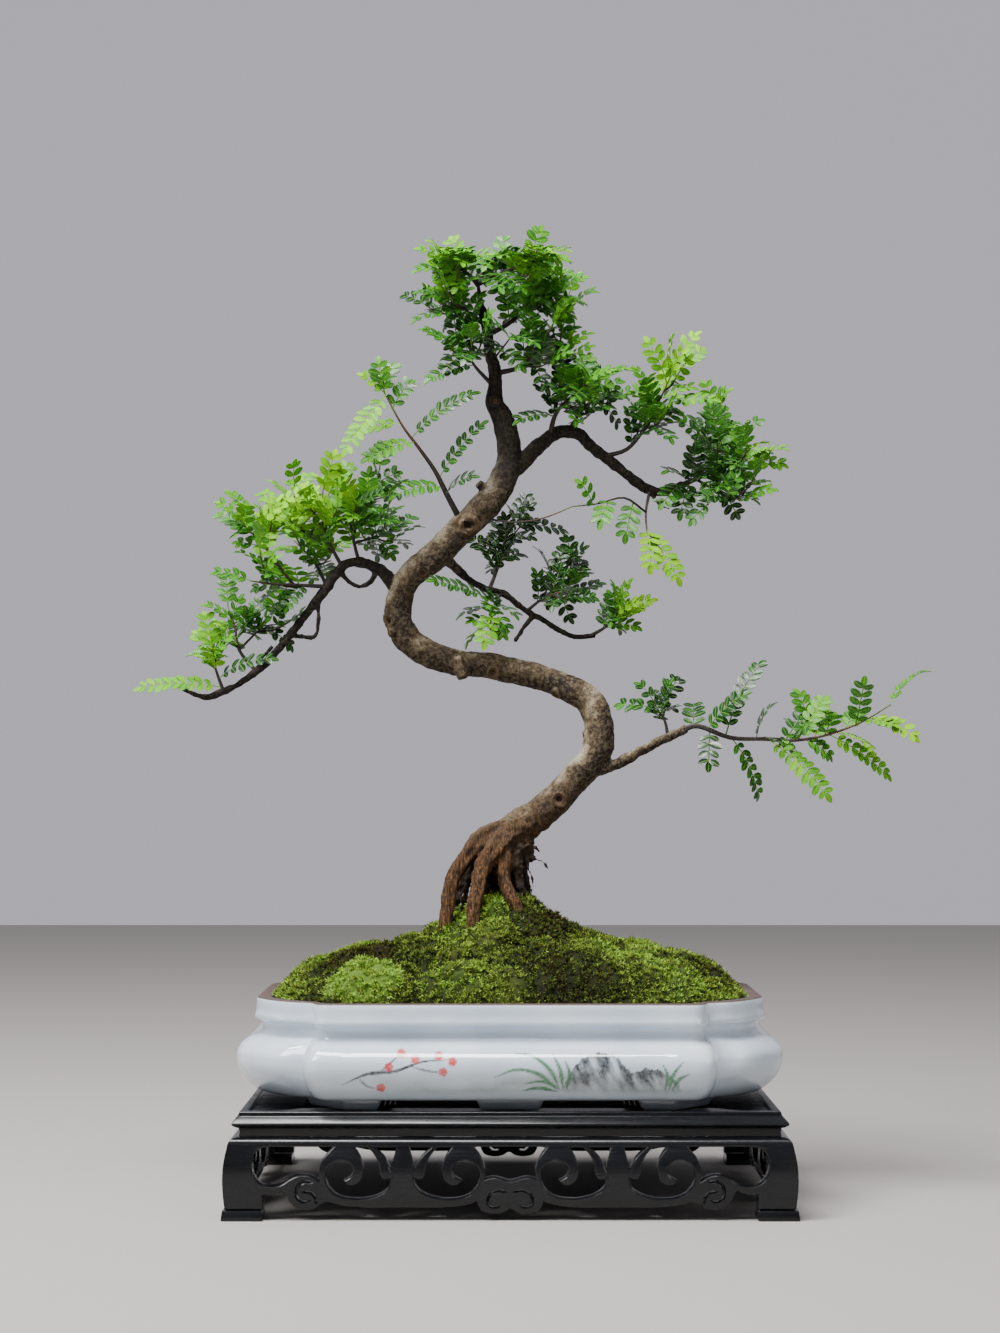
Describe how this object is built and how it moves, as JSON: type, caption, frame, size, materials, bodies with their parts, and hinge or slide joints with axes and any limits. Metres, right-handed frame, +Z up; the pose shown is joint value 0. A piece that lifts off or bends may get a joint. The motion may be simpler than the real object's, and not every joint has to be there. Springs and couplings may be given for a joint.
{
  "type": "bonsai tree",
  "caption": "Chinese pepper bonsai: an S-curved trunk with pinnate leaves, in a long lobed glazed pot with moss, on a carved lacquered stand.",
  "frame": {"origin": "middle of the bounding box, at the underside of the stand's feet", "axes": "+Z up along the tree's height; -Y is the pot's front, seen in the picture; +X is to its right"},
  "size_m": [0.5446, 0.284, 0.6681],
  "materials": {
    "lacquered_wood": "black lacquer, satin",
    "glazed_porcelain": "opaque bluish white glaze, glossy, with an unglazed brown rim",
    "soil": "dark granular soil",
    "moss": "short living moss",
    "bark": "rough speckled bark",
    "leaf": "glossy green leaf"
  },
  "bodies": {
    "root": {"stand_rail_front": "lacquered_wood", "stand_waist_front": "lacquered_wood", "stand_board_front": "lacquered_wood", "stand_rail_right": "lacquered_wood", "stand_waist_right": "lacquered_wood", "stand_board_right": "lacquered_wood", "stand_rail_back": "lacquered_wood", "stand_waist_back": "lacquered_wood", "stand_board_back": "lacquered_wood", "stand_rail_left": "lacquered_wood", "stand_waist_left": "lacquered_wood", "stand_board_left": "lacquered_wood", "stand_panel": "lacquered_wood", "stand_foot_front_left": "lacquered_wood", "stand_foot_front_right": "lacquered_wood", "stand_foot_back_right": "lacquered_wood", "stand_foot_back_left": "lacquered_wood", "pot": "glazed_porcelain", "soil": "soil", "moss": "moss", "trunk": "bark", "spray_cascade_tip": "leaf", "spray_cascade_low": "leaf", "spray_cascade_outer": "leaf", "spray_cascade_back": "leaf", "spray_left_crown": "leaf", "spray_left_inner": "leaf", "spray_reddish_shoot": "leaf", "spray_apex_top": "leaf", "spray_apex_left": "leaf", "spray_apex_right": "leaf", "spray_apex_low": "leaf", "spray_apex_inner": "leaf", "spray_limb_top": "leaf", "spray_limb_back": "leaf", "spray_right_upper": "leaf", "spray_right_outer": "leaf", "spray_right_hanging": "leaf", "spray_middle_inner": "leaf", "spray_middle_right": "leaf", "spray_middle_tip": "leaf", "spray_middle_front": "leaf", "spray_low_inner": "leaf", "spray_low_outer": "leaf"}
  },
  "joints": []
}
